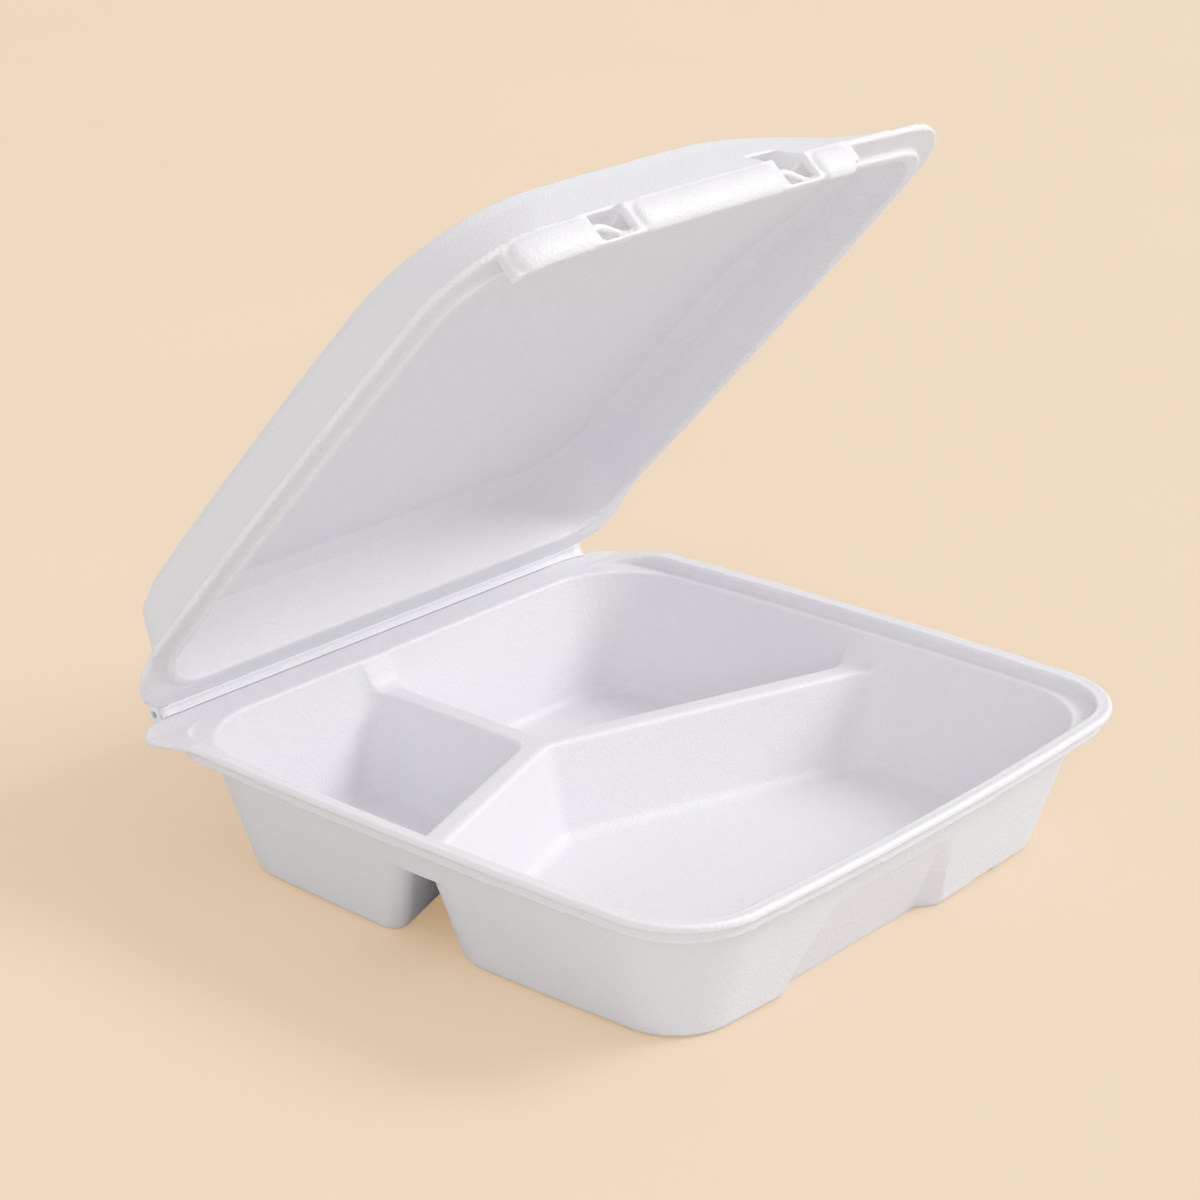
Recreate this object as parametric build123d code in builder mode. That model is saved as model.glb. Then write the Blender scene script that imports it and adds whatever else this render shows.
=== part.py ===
"""Foam hinged food container: a three compartment tray and its lid, shown with the lid standing open.

The tray stands on Z = 0 with its rim centred on the origin. X runs along the hinge, Y points to the hinge
at the rear, and Z is up. The lid is modelled shut, in place on the tray's rim, and then turned open about
the hinge.
"""

import os
from math import cos, radians, sin, tan

from build123d import *

os.makedirs("parts", exist_ok=True)

# Tray: rim outline and heights
tray_width = 236.0
tray_depth = 234.0
rim_height = 50.0
rim_corner = 31.0
side_bow = 3.6
front_bow = 4.4
sheet = 2.3

# Tray: rim section, from the outer lip inwards
flange_width = 5.0
step_depth = 4.6
ledge_width = 4.0

# Tray: drafted walls from the ledge down to the table
wall_draft = 17.5
wall_corner = 36.0
foot_round = 3.0

# Ridges between the compartments: two arms run to the side walls and one straight to the rear wall
junction_x = -18.0
junction_y = 31.0
left_arm_angle = 18.3
right_arm_angle = 18.3
ridge_height = 35.0
crest_width = 8.0
crest_round = 1.8
rear_draft = 16.0
front_draft = 12.0
compartment_corner = 9.0
floor_round = 5.0
gusset_draft = 30.0
gusset_round = 6.0
gusset_gap = 0.3

# Valleys under the ridges
valley_height = 31.0
valley_corner_rear = 6.0
valley_corner_front = 20.0

# Shallow recess in the front wall, below the latch
recess_left = -55.0
recess_right = 30.0
recess_bevel = 8.0
recess_height = 40.0
recess_narrowing = 11.0
recess_depth = 5.5
recess_runout = 1.0

# Rear flange, where the rim comes down to the hinge
rear_flange_reach = 4.5
rear_flange_corner = 14.0
rim_fall_start = 27.0
rim_fall_end = 5.0

# Hinge bead, with its ends measured in from the tray's sides
hinge_reach = 8.4
hinge_gap = 0.3
bead_radius = 2.6
bead_bore = 1.3
bead_left_inset = 14.0
bead_right_inset = 28.0

# Lid: flange over the tray's rim, with heights measured from the hinge plane
open_angle = 48.0
lid_overhang = 0.4
lid_reach = 4.2
lid_corner = 33.0
lid_front_bow = 4.8
lid_edge_height = 7.6
lid_lip = 1.6
lid_rear_wall = 5.5
lid_rear_corner = 26.0

# Lid: walls up to the shoulder and the top, measured in from the flange's edge
shoulder_height = 24.5
shoulder_side_inset = 8.6
shoulder_front_inset = 16.0
shoulder_rear_inset = 8.0
shoulder_front_corner = 52.0
shoulder_rear_corner = 27.0
top_height = 30.0
top_side_inset = 15.5
top_front_inset = 20.0
top_rear_inset = 14.0
top_front_corner = 46.0
top_rear_corner = 22.0

# Lid: plug that drops inside the tray's rim
plug_gap = 0.5
plug_width = 2.6
plug_lift = 3.0

# Lid: latch band that hangs in front of the tray's rim, and its slots
band_left_inset = 14.0
band_right_inset = 66.0
band_drop = 3.5
band_thickness = 3.0
band_end_slant = 24.0
slot_width = 15.0
slot_height = 10.0
slot_sill = 1.0
slot_left_inset = 54.0
notch_right_inset = 97.0
notch_height = 17.0

# Values that follow from the sizes above
half_width = tray_width / 2
half_depth = tray_depth / 2
ledge_height = rim_height - step_depth
rim_inside = flange_width + ledge_width
wall_top_inset = rim_inside - sheet
rear_flange = half_depth + rear_flange_reach
hinge_y = half_depth + hinge_reach
hinge_z = ledge_height + hinge_gap
lid_half = half_width + lid_overhang
lid_front = half_depth + lid_reach
plug_inset = flange_width + plug_gap
lid_edge = hinge_z + lid_edge_height
reach = 2 * tray_width
nearness = 0.3
junction = Vector(junction_x, junction_y)
left_arm = Vector(-cos(radians(left_arm_angle)), -sin(radians(left_arm_angle)))
right_arm = Vector(cos(radians(right_arm_angle)), -sin(radians(right_arm_angle)))
rear_arm = Vector(0, 1)


def outline(height, half, front, rear, front_corner, rear_corner, bow_side, bow_front):
    """Level face with bowed sides and front, a straight rear and rounded corners."""
    middle = (rear - front) / 2
    with BuildSketch(Plane.XY.offset(height)) as sketch:
        with BuildLine():
            ThreePointArc((-half, rear), (-half - bow_side, middle), (-half, -front))
            ThreePointArc((-half, -front), (0, -front - bow_front), (half, -front))
            ThreePointArc((half, -front), (half + bow_side, middle), (half, rear))
            Line((half, rear), (-half, rear))
        make_face()
        for side in (-half, half):
            fillet(sketch.vertices().sort_by_distance((side, rear, height))[0], rear_corner)
            fillet(sketch.vertices().sort_by_distance((side, -front, height))[0], front_corner)
    return sketch.sketch


def rim_outline(height, inset):
    """The tray's rim outline, set in by a distance all round."""
    half = half_width - inset
    depth = half_depth - inset
    corner = rim_corner - inset
    return outline(height, half, depth, depth, corner, corner, side_bow, front_bow)


def walls(low, inset, draft):
    """Solid inside the tray's walls, from the ledge down to a low level, set in by a distance all round."""
    half = half_width - wall_top_inset - inset
    depth = half_depth - wall_top_inset - inset
    corner = wall_corner - inset
    ledge = outline(ledge_height, half, depth, depth, corner, corner, side_bow, front_bow)
    with BuildPart() as block:
        extrude(ledge, amount=ledge_height - low, taper=draft)
        mirror(about=Plane.XY.offset(ledge_height), mode=Mode.REPLACE)
    return block.part


def across(front_height, rear_height, far_height):
    """Solid between the rim's surface, as it runs level and falls to the hinge, and a far height."""
    with BuildPart() as block:
        with BuildSketch(Plane.YZ):
            Polygon(
                (-reach, front_height),
                (half_depth - rim_fall_start, front_height),
                (half_depth - rim_fall_end, rear_height),
                (reach, rear_height),
                (reach, far_height),
                (-reach, far_height),
                align=None,
            )
        extrude(amount=reach, both=True)
    return block.part


def recess(inset):
    """Tool for the front recess, larger by an inset on its sides and its back."""
    with BuildPart() as tool:
        faces = []
        foot_level = (0, 0, recess_depth)
        top_level = (recess_height, recess_narrowing, -recess_runout)
        for height, narrowing, depth in (foot_level, top_level):
            fall = (ledge_height - height) * tan(radians(wall_draft))
            wall = fall + wall_top_inset - half_depth - front_bow
            left = recess_left + narrowing - inset
            right = recess_right - narrowing + inset
            back = wall + depth + inset
            with BuildSketch(Plane.XY.offset(height)) as sketch:
                Polygon(
                    (left, -reach),
                    (left, wall),
                    (left + recess_bevel, back),
                    (right - recess_bevel, back),
                    (right, wall),
                    (right, -reach),
                    align=None,
                )
            faces.append(sketch.sketch)
        loft(sections=faces, ruled=True)
    return tool.part


compartments = {
    "rear_left": ((left_arm, -1, rear_draft), (rear_arm, 1, rear_draft)),
    "rear_right": ((rear_arm, -1, rear_draft), (right_arm, 1, rear_draft)),
    "front": ((left_arm, 1, front_draft), (right_arm, -1, front_draft)),
}

valley_corners = {
    "rear_left": valley_corner_rear,
    "rear_right": valley_corner_rear,
    "front": valley_corner_front,
}


def ridge_face(arm, side, draft, set_back):
    """Plane of a ridge's sloping side that looks into a compartment."""
    level = Vector(-arm.Y, arm.X) * side
    spot = junction + level * (crest_width / 2 + set_back)
    return Plane(
        origin=(spot.X, spot.Y, ridge_height),
        x_dir=(arm.X, arm.Y, 0),
        z_dir=(level.X * cos(radians(draft)), level.Y * cos(radians(draft)), sin(radians(draft))),
    )


def lies_on(edge, face):
    """Whether an edge's middle lies on a plane."""
    return abs(face.to_local_coords(edge.center()).Z) < nearness


def compartment(name, low, inset, side_corner, low_round):
    """Body of one compartment between two ridges, from the ledge down to a low level."""
    faces = [ridge_face(arm, side, draft, inset - sheet) for arm, side, draft in compartments[name]]
    with BuildPart() as body:
        add(walls(low, inset, wall_draft))
        for face in faces:
            split(bisect_by=face, keep=Keep.TOP)
        meeting = body.edges().filter_by(lambda edge: all(lies_on(edge, face) for face in faces))
        fillet(meeting, compartment_corner)
        for face in faces:
            ends = body.edges().filter_by(lambda edge: edge.bounding_box().size.Z > ridge_height)
            ends = ends.filter_by(lambda edge: lies_on(edge, face))
            fillet(ends.sort_by_distance(junction)[-1], side_corner)
        fillet(body.faces().sort_by(Axis.Z)[0].edges(), low_round)
        if name == "front":
            add(recess(inset), mode=Mode.SUBTRACT)
    return body.part


with BuildPart() as tray_rim:
    plate = outline(
        ledge_height - sheet,
        half_width,
        half_depth,
        rear_flange,
        rim_corner,
        rear_flange_corner,
        side_bow,
        front_bow,
    )
    extrude(plate, amount=step_depth + sheet)
    add(across(rim_height - sheet, ledge_height - sheet, 0), mode=Mode.SUBTRACT)
    extrude(rim_outline(ledge_height - sheet, flange_width - sheet), amount=step_depth + sheet)
    add(across(rim_height, ledge_height, 2 * rim_height), mode=Mode.SUBTRACT)

with BuildPart() as ridge_clearance:
    add(walls(ridge_height, sheet + gusset_gap, gusset_draft))
    fillet(ridge_clearance.faces().sort_by(Axis.Z)[0].edges(), gusset_round)

with BuildPart() as base_tray:
    add(walls(valley_height, 0, wall_draft))
    for name, corner in valley_corners.items():
        add(compartment(name, 0, 0, corner, foot_round))
    add(tray_rim)
    extrude(rim_outline(ledge_height, flange_width), amount=step_depth + sheet, mode=Mode.SUBTRACT)
    for name, corner in valley_corners.items():
        inner_corner = max(corner - sheet, compartment_corner)
        add(compartment(name, sheet, sheet, inner_corner, floor_round), mode=Mode.SUBTRACT)
    add(ridge_clearance, mode=Mode.SUBTRACT)
    crests = base_tray.edges().filter_by_position(Axis.Z, ridge_height - nearness, ridge_height)
    fillet(crests, crest_round)
    with BuildSketch(Plane.YZ.offset(bead_left_inset - half_width)):
        with Locations((hinge_y, hinge_z)):
            Circle(bead_radius)
        with Locations((hinge_y, ledge_height)):
            Rectangle(hinge_y - rear_flange + sheet, sheet, align=(Align.MAX, Align.MAX))
        with Locations((hinge_y, hinge_z)):
            Circle(bead_bore, mode=Mode.SUBTRACT)
    extrude(amount=tray_width - bead_left_inset - bead_right_inset)


def lid_section(height, inset, sheet_inset):
    """Outline of the shut lid's walls at a height over the hinge plane, from its insets and corners."""
    side, front, rear, front_corner, rear_corner = inset
    return outline(
        hinge_z + height,
        lid_half - side - sheet_inset,
        lid_front - front - sheet_inset,
        half_depth - rear - sheet_inset,
        front_corner - sheet_inset,
        rear_corner - sheet_inset,
        side_bow,
        lid_front_bow,
    )


def dome(foot, sheet_inset):
    """Walls from a foot section through the shoulder to the top, set in by the sheet for the inside."""
    shoulder = lid_section(shoulder_height - sheet_inset / 2, shoulder_inset, sheet_inset)
    top = lid_section(top_height - sheet_inset, top_inset, sheet_inset)
    with BuildPart() as body:
        loft(sections=[foot, shoulder], ruled=True)
        loft(sections=[shoulder, top], ruled=True)
    return body.part


shoulder_inset = (
    shoulder_side_inset,
    shoulder_front_inset,
    shoulder_rear_inset,
    shoulder_front_corner,
    shoulder_rear_corner,
)
top_inset = (top_side_inset, top_front_inset, top_rear_inset, top_front_corner, top_rear_corner)
foot_inset = (lid_lip, lid_lip, lid_rear_wall, lid_corner - lid_lip, lid_corner - lid_lip)
lid_rear_edge = hinge_y - bead_radius - hinge_gap
band_foot = hinge_z - band_drop
slot_face = lid_front + lid_front_bow + sheet
slot_depth = lid_front_bow + band_thickness + 2 * sheet
slot_place = slot_left_inset - half_width
notch_depth = slot_depth + plug_inset + plug_width + sheet
notch_place = half_width - notch_right_inset
openings = (
    (slot_place, slot_depth, slot_height),
    (notch_place, notch_depth, notch_height),
)

with BuildPart() as lid_skirt:
    plate = outline(
        hinge_z,
        lid_half,
        lid_front,
        lid_rear_edge,
        lid_corner,
        lid_rear_corner,
        side_bow,
        lid_front_bow,
    )
    extrude(plate, amount=lid_edge_height)
    add(across(lid_edge, hinge_z + sheet, 2 * rim_height), mode=Mode.SUBTRACT)
    add(across(lid_edge - sheet, hinge_z, 0), mode=Mode.SUBTRACT)
    extrude(rim_outline(hinge_z, plug_inset), amount=lid_edge_height)
    add(across(hinge_z + plug_lift, hinge_z, 0), mode=Mode.SUBTRACT)

with BuildPart() as latch_band:
    for inset, mode in ((0, Mode.ADD), (band_thickness, Mode.SUBTRACT)):
        corner = lid_corner - inset
        face = outline(
            band_foot,
            lid_half - inset,
            lid_front - inset,
            half_depth,
            corner,
            corner,
            side_bow,
            lid_front_bow,
        )
        extrude(face, amount=lid_edge - band_foot, mode=mode)
    with BuildSketch(Plane.XZ):
        Polygon(
            (band_left_inset - half_width, lid_edge),
            (band_left_inset - half_width, band_foot),
            (half_width - band_right_inset - band_end_slant, band_foot),
            (half_width - band_right_inset, hinge_z),
            (half_width - band_right_inset, lid_edge),
            align=None,
        )
    extrude(amount=reach, mode=Mode.INTERSECT)

with BuildPart() as lid_shut:
    add(lid_skirt)
    add(dome(lid_section(lid_edge_height, foot_inset, 0), 0))
    add(dome(rim_outline(hinge_z, plug_inset + plug_width), sheet), mode=Mode.SUBTRACT)
    add(latch_band)
    for place, depth, height in openings:
        front_low = (Align.CENTER, Align.MIN, Align.MIN)
        with Locations((place, -slot_face, band_foot + slot_sill)):
            Box(slot_width, depth, height, align=front_low, mode=Mode.SUBTRACT)

with BuildPart() as lid:
    add(lid_shut.part.rotate(Axis((0, hinge_y, hinge_z), (1, 0, 0)), -open_angle))

base_tray.part.label = "base_tray"
lid.part.label = "lid"
export_step(base_tray.part, "parts/base_tray.step")
export_step(lid.part, "parts/lid.step")
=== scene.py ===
"""Looks of the foam clamshell container: foam skin, latch, rim and hinge details, light and camera."""
import math

import bmesh
import bpy
import numpy as np
from mathutils import Matrix, Vector


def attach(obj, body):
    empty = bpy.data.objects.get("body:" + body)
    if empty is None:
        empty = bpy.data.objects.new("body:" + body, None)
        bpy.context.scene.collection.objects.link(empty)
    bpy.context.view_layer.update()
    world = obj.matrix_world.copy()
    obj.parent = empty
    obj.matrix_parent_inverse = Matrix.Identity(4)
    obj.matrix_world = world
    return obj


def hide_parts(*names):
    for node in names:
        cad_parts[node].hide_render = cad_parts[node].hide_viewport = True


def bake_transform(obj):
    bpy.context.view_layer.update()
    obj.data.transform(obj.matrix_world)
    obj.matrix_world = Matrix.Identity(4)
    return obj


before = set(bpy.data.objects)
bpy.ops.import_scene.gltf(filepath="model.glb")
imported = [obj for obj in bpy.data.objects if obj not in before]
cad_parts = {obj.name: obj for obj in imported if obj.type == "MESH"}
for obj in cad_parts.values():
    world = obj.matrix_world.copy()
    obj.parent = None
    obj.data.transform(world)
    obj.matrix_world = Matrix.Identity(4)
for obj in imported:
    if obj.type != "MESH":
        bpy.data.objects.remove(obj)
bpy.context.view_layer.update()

MM = 0.001

# Tray, in millimetres, as in the solids
tray_half = 118.0
tray_front = 117.0
tray_corner = 31.0
tray_bows = (3.6, 4.4)
rim_top = 50.0

# Lid, in millimetres, as in the solids and with the lid shut
lid_half = 118.4
lid_front = 121.2
lid_corner = 33.0
lid_bows = (3.6, 4.8)
lid_edge = 53.3
slot_middles = (-64.0, 21.0)
slot_half = 7.5
axis_y, axis_z = 125.4, 45.7
open_turn = math.radians(48)

# Moulded skin
skin_voxel = 0.8
skin_passes = 3
skin_triangles = 190000
smooth_in, smooth_out = 0.5, -0.51

# Latch bead along the band, and the hooked tongue in each slot
bead_left, bead_right = -103.0, 49.0
bead_height = 47.0
bead_set_back = 0.9
bead_high, bead_wide, bead_round = 5.3, 2.7, 4.0
bead_slot_gap = 1.0
tongue_half = 8.625
tongue_set_back = 2.4
tongue_height = 46.2
tongue_swing = 2.6
tongue_half_wave = 10.0
tongue_radius, tongue_round = 1.2, 2.0
tongue_steps = 24

# Raised lip along the tray's rim, round the front and back along both sides to lip_rear
lip_rear = 84.0
lip_inset = 1.1
lip_drop = 0.35
lip_high, lip_wide, lip_round = 0.75, 1.0, 8.0

# Dome at the lid's front right corner: share of its height that it loses, and where that starts and ends
corner_fall = 0.42
fall_right = (10, 95)
fall_front = (10, 85)

# Hinge web across the crease between the flanges
web_left, web_right = -103.5, 105.0
web_flare_start = 93.0
web_reach, web_flare = 4.3, 2.4
web_dip = 0.22
web_columns, web_rows = 60, 12
web_thickness = 0.4

shut_to_open = (
    Matrix.Translation((0, axis_y, axis_z))
    @ Matrix.Rotation(-open_turn, 4, "X")
    @ Matrix.Translation((0, -axis_y, -axis_z))
)


def node_tree(owner):
    """Empty node tree of a material or world."""
    owner.use_nodes = True
    tree = owner.node_tree
    tree.nodes.clear()
    return tree


def add_node(tree, kind, **values):
    """New node, with its properties or inputs set by name."""
    node = tree.nodes.new(kind)
    for name, value in values.items():
        if hasattr(node, name):
            setattr(node, name, value)
        else:
            node.inputs[name.replace("_", " ")].default_value = value
    return node


def placed(name, data):
    """New object in the scene."""
    piece = bpy.data.objects.new(name, data)
    bpy.context.scene.collection.objects.link(piece)
    return piece


def foam(name, grain):
    """White moulded foam: a satin skin over fine fused beads, glossier at convex edges and paler there as a
    painted highlight.
    """
    colour = (0.925, 0.922, 0.955)
    hollow_shade, painted_edge_highlight = 0.95, 1.07
    bead_size = 0.85 * MM
    bead_depth, peel_depth, wave_depth = 0.30 * MM, 0.35 * MM, 0.5 * MM
    satin, edge_gloss = 0.42, 0.26
    material = bpy.data.materials.new(name)
    tree = node_tree(material)
    link = tree.links.new
    place = add_node(tree, "ShaderNodeTexCoord")
    beads = add_node(tree, "ShaderNodeTexVoronoi", feature="SMOOTH_F1", Scale=1 / bead_size, Smoothness=0.5)
    peel = add_node(tree, "ShaderNodeTexNoise", Scale=0.5 / bead_size, Detail=3.0, Roughness=0.6)
    waves = add_node(tree, "ShaderNodeTexNoise", Scale=45.0, Detail=1.5, Roughness=0.5)
    for texture in (beads, peel, waves):
        link(place.outputs["Object"], texture.inputs["Vector"])

    small = add_node(tree, "ShaderNodeBump", Strength=grain, Distance=bead_depth)
    link(beads.outputs["Distance"], small.inputs["Height"])
    middle = add_node(tree, "ShaderNodeBump", Strength=grain, Distance=peel_depth)
    link(peel.outputs["Fac"], middle.inputs["Height"])
    link(small.outputs["Normal"], middle.inputs["Normal"])
    broad = add_node(tree, "ShaderNodeBump", Strength=0.35, Distance=wave_depth)
    link(waves.outputs["Fac"], broad.inputs["Height"])
    link(middle.outputs["Normal"], broad.inputs["Normal"])

    # Convex edges, found by pointiness, get a lower roughness and a painted highlight in the base colour.
    form = add_node(tree, "ShaderNodeNewGeometry")
    edges = add_node(tree, "ShaderNodeMapRange", From_Min=0.505, From_Max=0.56)
    link(form.outputs["Pointiness"], edges.inputs["Value"])
    tint = add_node(tree, "ShaderNodeMix", data_type="RGBA")
    tint.inputs["A"].default_value = (*[c * hollow_shade for c in colour], 1)
    tint.inputs["B"].default_value = (*colour, 1)
    link(peel.outputs["Fac"], tint.inputs["Factor"])
    # Painted highlight: the base colour is made paler on convex edges.
    painted_highlight_tint = add_node(tree, "ShaderNodeMix", data_type="RGBA")
    painted_highlight_tint.inputs["B"].default_value = (*[c * painted_edge_highlight for c in colour], 1)
    link(edges.outputs["Result"], painted_highlight_tint.inputs["Factor"])
    link(tint.outputs["Result"], painted_highlight_tint.inputs["A"])

    shine = add_node(tree, "ShaderNodeMapRange", To_Min=satin - 0.06, To_Max=satin + 0.08)
    link(beads.outputs["Distance"], shine.inputs["Value"])
    polish = add_node(tree, "ShaderNodeMix", data_type="FLOAT")
    polish.inputs["B"].default_value = edge_gloss
    link(edges.outputs["Result"], polish.inputs["Factor"])
    link(shine.outputs["Result"], polish.inputs["A"])

    surface = add_node(tree, "ShaderNodeBsdfPrincipled")
    surface.inputs["IOR"].default_value = 1.45
    surface.inputs["Specular IOR Level"].default_value = 0.55
    link(painted_highlight_tint.outputs["Result"], surface.inputs["Base Color"])
    link(polish.outputs["Result"], surface.inputs["Roughness"])
    link(broad.outputs["Normal"], surface.inputs["Normal"])
    out = add_node(tree, "ShaderNodeOutputMaterial")
    link(surface.outputs["BSDF"], out.inputs["Surface"])
    return material


def vertex_places(mesh):
    """A mesh's vertices as rows of an array."""
    places = np.empty(len(mesh.vertices) * 3)
    mesh.vertices.foreach_get("co", places)
    return places.reshape(-1, 3)


def even_out(mesh, passes):
    """Rounds a mesh's edges without shrinking it, by smoothing it in and out in turn."""
    places = vertex_places(mesh)
    count = len(places)
    edges = np.empty(len(mesh.edges) * 2, dtype=np.int64)
    mesh.edges.foreach_get("vertices", edges)
    start, end = edges.reshape(-1, 2).T
    valence = np.bincount(edges, minlength=count).astype(float)
    for _ in range(passes):
        for share in (smooth_in, smooth_out):
            for axis in range(3):
                line = places[:, axis]
                total = np.bincount(start, weights=line[end], minlength=count)
                total += np.bincount(end, weights=line[start], minlength=count)
                places[:, axis] = line + share * (total / valence - line)
    mesh.vertices.foreach_set("co", places.ravel())
    mesh.update()


def smooth_step(values, low, high):
    """Share that rises smoothly from 0 at a low value to 1 at a high one."""
    share = np.clip((values - low) / (high - low), 0, 1)
    return share * share * (3 - 2 * share)


def turned(places, matrix):
    """Rows of places moved by a 4 by 4 matrix."""
    rows = np.array(matrix)
    return places @ rows[:3, :3].T + rows[:3, 3]


def lower_corner(mesh):
    """Brings the dome down towards the lid's front right corner, where the photograph shows it lower."""
    places = turned(vertex_places(mesh) / MM, shut_to_open.inverted())
    rise = np.maximum(places[:, 2] - lid_edge, 0)
    share = smooth_step(places[:, 0], *fall_right) * smooth_step(-places[:, 1], *fall_front)
    places[:, 2] -= corner_fall * rise * share
    mesh.vertices.foreach_set("co", (turned(places, shut_to_open) * MM).ravel())


def evaluated(piece):
    """Mesh of a piece with its modifiers applied."""
    return bpy.data.meshes.new_from_object(piece.evaluated_get(bpy.context.evaluated_depsgraph_get()))


def moulded(name, node, body, extra, material, reshape=None):
    """The node's shape as moulded foam, fused with its small extras and with every edge softly rounded."""
    joined = bmesh.new()
    joined.from_mesh(bpy.data.objects[node].data)
    for mesh in extra:
        joined.from_mesh(mesh)
    mesh = bpy.data.meshes.new(name)
    joined.to_mesh(mesh)
    joined.free()
    pattern = placed(name + "_pattern", mesh)
    piece = placed(name, mesh.copy())
    fuse = piece.modifiers.new("fuse", "REMESH")
    fuse.mode = "VOXEL"
    fuse.voxel_size = skin_voxel * MM
    snap = piece.modifiers.new("snap", "SHRINKWRAP")
    snap.target = pattern
    mesh = evaluated(piece)
    if reshape:
        reshape(mesh)
    even_out(mesh, skin_passes)
    piece.modifiers.clear()
    piece.data = mesh
    thin = piece.modifiers.new("thin", "DECIMATE")
    thin.ratio = skin_triangles / (2 * len(mesh.polygons))
    mesh = evaluated(piece)
    piece.modifiers.clear()
    piece.data = mesh
    bpy.data.objects.remove(pattern)
    mesh.shade_smooth()
    mesh.materials.clear()
    mesh.materials.append(material)
    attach(piece, body)
    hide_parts(node)


def front_line(half, front, corner, bows, side_reach, inset, count=60):
    """Points (x, y) along an outline's bowed sides, rounded front corners and bowed front, set in."""
    usual_lean = 0.05
    settling_rounds = 20
    bow_side, bow_front = bows

    def out(along, reach, bow):
        """How far a bowed side stands out at a place along it."""
        return bow * (1 - (along / reach) ** 2)

    def lean(along, reach, bow):
        """How much a bowed side leans at a place along it."""
        return math.atan(2 * bow * along / reach ** 2)

    x, y = half - corner, front - corner
    for _ in range(settling_rounds):
        side_lean = lean(y + corner * usual_lean, front, bow_side)
        side_y = y + corner * math.sin(side_lean)
        x = half + out(side_y, front, bow_side) - corner * math.cos(side_lean)
        front_lean = lean(x, half, bow_front)
        front_x = x + corner * math.sin(front_lean)
        y = front + out(front_x, half, bow_front) - corner * math.cos(front_lean)

    rows = []
    for i in range(count):
        down = -side_reach + (side_y + side_reach) * i / count
        rows.append((half + out(down, front, bow_side), down, lean(down, front, bow_side)))
    for i in range(count):
        angle = side_lean + (math.pi / 2 - front_lean - side_lean) * i / count
        rows.append((x + corner * math.cos(angle), y + corner * math.sin(angle), angle))
    for i in range(count + 1):
        across = front_x * (1 - i / count)
        angle = math.pi / 2 - lean(across, half, bow_front)
        rows.append((across, front + out(across, half, bow_front), angle))
    right = [(a - inset * math.cos(angle), -b + inset * math.sin(angle)) for a, b, angle in rows]
    left = [(-a, b) for a, b in right[:-1]]
    return left + right[::-1]


def tube(points, reference, high, wide, round_end):
    """Bar of oval section with rounded ends, swept along points; high is along the reference direction."""
    sides = 20
    least_end = 0.12
    points = [Vector(point) for point in points]
    reference = Vector(reference)
    walked = [0.0]
    for a, b in zip(points, points[1:]):
        walked.append(walked[-1] + (b - a).length)
    shape = bmesh.new()
    rings = []
    for i, point in enumerate(points):
        ahead = points[min(i + 1, len(points) - 1)] - points[max(i - 1, 0)]
        across = ahead.cross(reference).normalized()
        end = min(walked[i], walked[-1] - walked[i], round_end) / round_end
        swell = max(least_end, math.sqrt(1 - (1 - end) ** 2))
        ring = []
        for k in range(sides):
            turn = 2 * math.pi * k / sides
            lift = reference * high * swell * math.sin(turn)
            spot = point + lift + across * wide * swell * math.cos(turn)
            ring.append(shape.verts.new(spot * MM))
        rings.append(ring)
    for a, b in zip(rings, rings[1:]):
        for k in range(sides):
            shape.faces.new((a[k], a[(k + 1) % sides], b[(k + 1) % sides], b[k]))
    shape.faces.new(rings[0])
    shape.faces.new(rings[-1])
    bmesh.ops.recalc_face_normals(shape, faces=shape.faces)
    mesh = bpy.data.meshes.new("bar")
    shape.to_mesh(mesh)
    shape.free()
    return mesh


def opened(mesh):
    """Turns a mesh of the shut lid to its open place."""
    scale = Matrix.Diagonal((MM, MM, MM, 1))
    mesh.transform(scale @ shut_to_open @ scale.inverted())
    return mesh


def latch_details():
    """A rolled bead along the latch band, broken at the slots, and a small hooked tongue in each slot."""
    lid_line = front_line(lid_half, lid_front, lid_corner, lid_bows, 0, 0)
    clear = slot_half + bead_slot_gap
    breaks = [bead_left]
    for middle in slot_middles:
        breaks += [middle - clear, middle + clear]
    breaks.append(bead_right)
    details = []
    for start_x, end_x in zip(breaks[::2], breaks[1::2]):
        run = [(x, y + bead_set_back, bead_height) for x, y in lid_line if start_x <= x <= end_x]
        details.append(opened(tube(run, (0, 0, 1), bead_high, bead_wide, bead_round)))
    for middle in slot_middles:
        run = []
        for i in range(tongue_steps + 1):
            x = middle + tongue_half * (2 * i / tongue_steps - 1)
            near = min(lid_line[1:], key=lambda point: abs(point[0] - x))
            height = tongue_height - tongue_swing * math.sin(math.pi * (x - middle) / tongue_half_wave)
            run.append((x, near[1] + tongue_set_back, height))
        details.append(opened(tube(run, (0, 1, 0), tongue_radius, tongue_radius, tongue_round)))
    return details


def rim_lip():
    """A raised lip along the tray's outer edge."""
    line = front_line(tray_half, tray_front, tray_corner, tray_bows, lip_rear, lip_inset)
    return tube([(x, y, rim_top - lip_drop) for x, y in line], (0, 0, 1), lip_high, lip_wide, lip_round)


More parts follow.
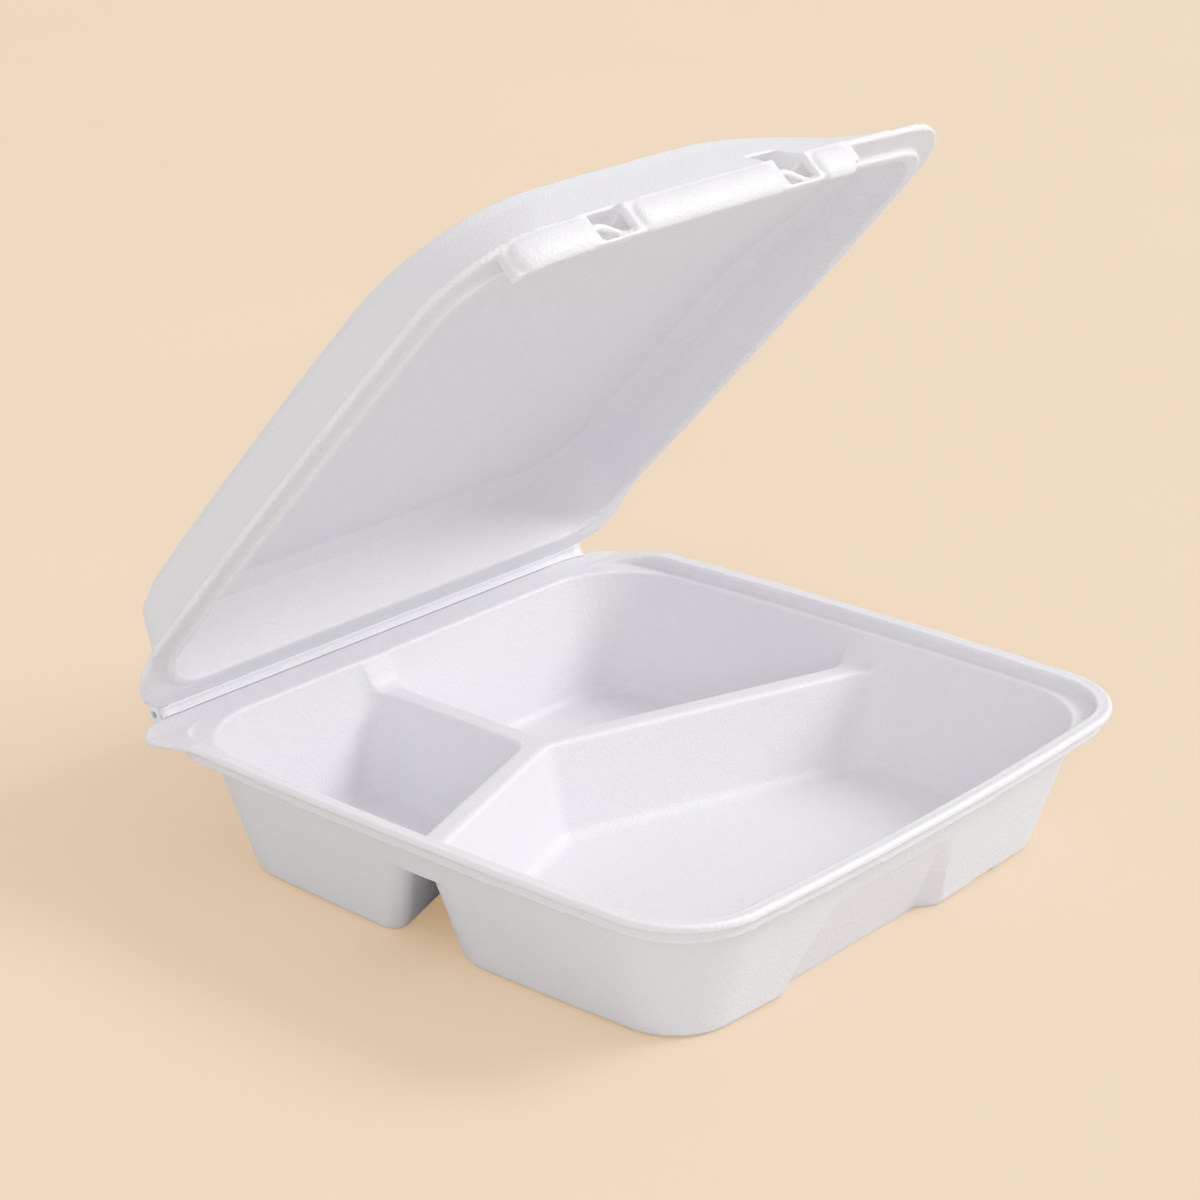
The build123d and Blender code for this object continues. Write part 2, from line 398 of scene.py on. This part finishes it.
def hinge_web(name, material):
    """Thin pressed web across the hinge crease, a little hollow and flared out at its right end."""
    shape = bmesh.new()
    columns = []
    for i in range(web_columns + 1):
        x = web_left + (web_right - web_left) * i / web_columns
        flare = max(0.0, (x - web_flare_start) / (web_right - web_flare_start))
        reach = web_reach + web_flare * flare * flare
        column = []
        for k in range(web_rows + 1):
            share = k / web_rows
            turn = math.pi - open_turn * share
            away = reach * (1 - web_dip * math.sin(math.pi * share))
            spot = Vector((x, axis_y + away * math.cos(turn), axis_z + away * math.sin(turn)))
            column.append(shape.verts.new(spot * MM))
        columns.append(column)
    for left, right in zip(columns, columns[1:]):
        for a, b, c, d in zip(left, right, right[1:], left[1:]):
            shape.faces.new((a, b, c, d))
    mesh = bpy.data.meshes.new(name)
    shape.to_mesh(mesh)
    shape.free()
    mesh.shade_smooth()
    web = placed(name, mesh)
    web.data.materials.append(material)
    thick = web.modifiers.new("skin", "SOLIDIFY")
    thick.thickness = web_thickness * MM
    thick.offset = 0
    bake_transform(web)


def paper():
    """Beige paper, whose shadows stay warm and light where the camera sees them."""
    bounce = (0.79, 0.755, 0.72, 1)
    darker, lighter = (0.475, 0.455, 0.420, 1), (0.500, 0.478, 0.440, 1)
    glow = (0.405, 0.265, 0.140, 1)
    material = bpy.data.materials.new("paper")
    tree = node_tree(material)
    link = tree.links.new
    place = add_node(tree, "ShaderNodeTexCoord")
    fibre = add_node(tree, "ShaderNodeTexNoise", Scale=4.0, Detail=2.0)
    link(place.outputs["Object"], fibre.inputs["Vector"])
    shades = add_node(tree, "ShaderNodeMix", data_type="RGBA")
    shades.inputs["A"].default_value = darker
    shades.inputs["B"].default_value = lighter
    link(fibre.outputs["Fac"], shades.inputs["Factor"])
    plain = add_node(tree, "ShaderNodeBsdfDiffuse", Color=bounce)
    matte = add_node(tree, "ShaderNodeBsdfDiffuse")
    link(shades.outputs["Result"], matte.inputs["Color"])
    warmth = add_node(tree, "ShaderNodeEmission", Color=glow)
    seen = add_node(tree, "ShaderNodeAddShader")
    link(matte.outputs["BSDF"], seen.inputs[0])
    link(warmth.outputs["Emission"], seen.inputs[1])
    rays = add_node(tree, "ShaderNodeLightPath")
    choice = add_node(tree, "ShaderNodeMixShader")
    link(rays.outputs["Is Camera Ray"], choice.inputs["Fac"])
    link(plain.outputs["BSDF"], choice.inputs[1])
    link(seen.outputs["Shader"], choice.inputs[2])
    out = add_node(tree, "ShaderNodeOutputMaterial")
    link(choice.outputs["Shader"], out.inputs["Surface"])
    return material


def stage_floor():
    """Wide level floor that the container stands on."""
    reach = 12.0
    corners = [(-reach, -reach, 0), (reach, -reach, 0), (reach, reach, 0), (-reach, reach, 0)]
    mesh = bpy.data.meshes.new("floor")
    mesh.from_pydata(corners, [], [(0, 1, 2, 3)])
    floor = placed("floor", mesh)
    floor.data.materials.append(paper())


def studio_dome():
    """Even, slightly warm light from all round."""
    world = bpy.data.worlds.new("studio")
    bpy.context.scene.world = world
    tree = node_tree(world)
    dome = add_node(tree, "ShaderNodeBackground", Strength=0.69, Color=(1.0, 0.985, 0.975, 1))
    out = add_node(tree, "ShaderNodeOutputWorld")
    tree.links.new(dome.outputs["Background"], out.inputs["Surface"])


def lamp(name, place, target, size, power):
    """Large soft disc of light that faces a target."""
    data = bpy.data.lights.new(name, "AREA")
    data.shape = "DISK"
    data.size = size
    data.energy = power
    piece = placed(name, data)
    piece.location = place
    piece.rotation_euler = (Vector(target) - Vector(place)).to_track_quat("-Z", "Y").to_euler()


def photo_camera():
    """Camera at the photograph's place, from the fit to the tray's rim, foot and hinge line."""
    azimuth, elevation, roll = math.radians(-49.11), math.radians(21.216), math.radians(0.146)
    target = Vector((16.48, 34.05, 75.0)) * MM
    distance = 1006.87 * MM
    photo_side, focal_pixels = 1200, 2980.33
    level = math.cos(elevation)
    back = Vector((math.sin(azimuth) * level, -math.cos(azimuth) * level, math.sin(elevation)))
    side = (-back).cross(Vector((0, 0, 1))).normalized()
    rise = side.cross(-back)
    right = side * math.cos(roll) + rise * math.sin(roll)
    up = rise * math.cos(roll) - side * math.sin(roll)
    lens = bpy.data.cameras.new("camera")
    lens.sensor_width = 36.0
    lens.lens = lens.sensor_width * focal_pixels / photo_side
    lens.clip_start = 0.01
    lens.clip_end = 100.0
    camera = placed("camera", lens)
    turn = Matrix((right, up, back)).transposed().to_4x4()
    camera.matrix_world = Matrix.Translation(target + back * distance) @ turn
    bpy.context.scene.camera = camera


latch = latch_details()
lip = rim_lip()
tray_foam = foam("tray_foam", grain=0.42)
lid_foam = foam("lid_foam", grain=0.46)
moulded("tray_shell", "base_tray", "base", [lip], tray_foam)
moulded("lid_shell", "lid", "lid", latch, lid_foam, lower_corner)
hinge_web("hinge_web", tray_foam)

stage_floor()
studio_dome()
lamp("key", place=(5.4, -4.9, 5.3), target=(0, 0, 0.05), size=3.6, power=320)
lamp("fill", place=(-6.2, -3.6, 3.4), target=(0, 0, 0.1), size=4.0, power=50)
photo_camera()
bpy.context.scene.view_settings.view_transform = "Standard"
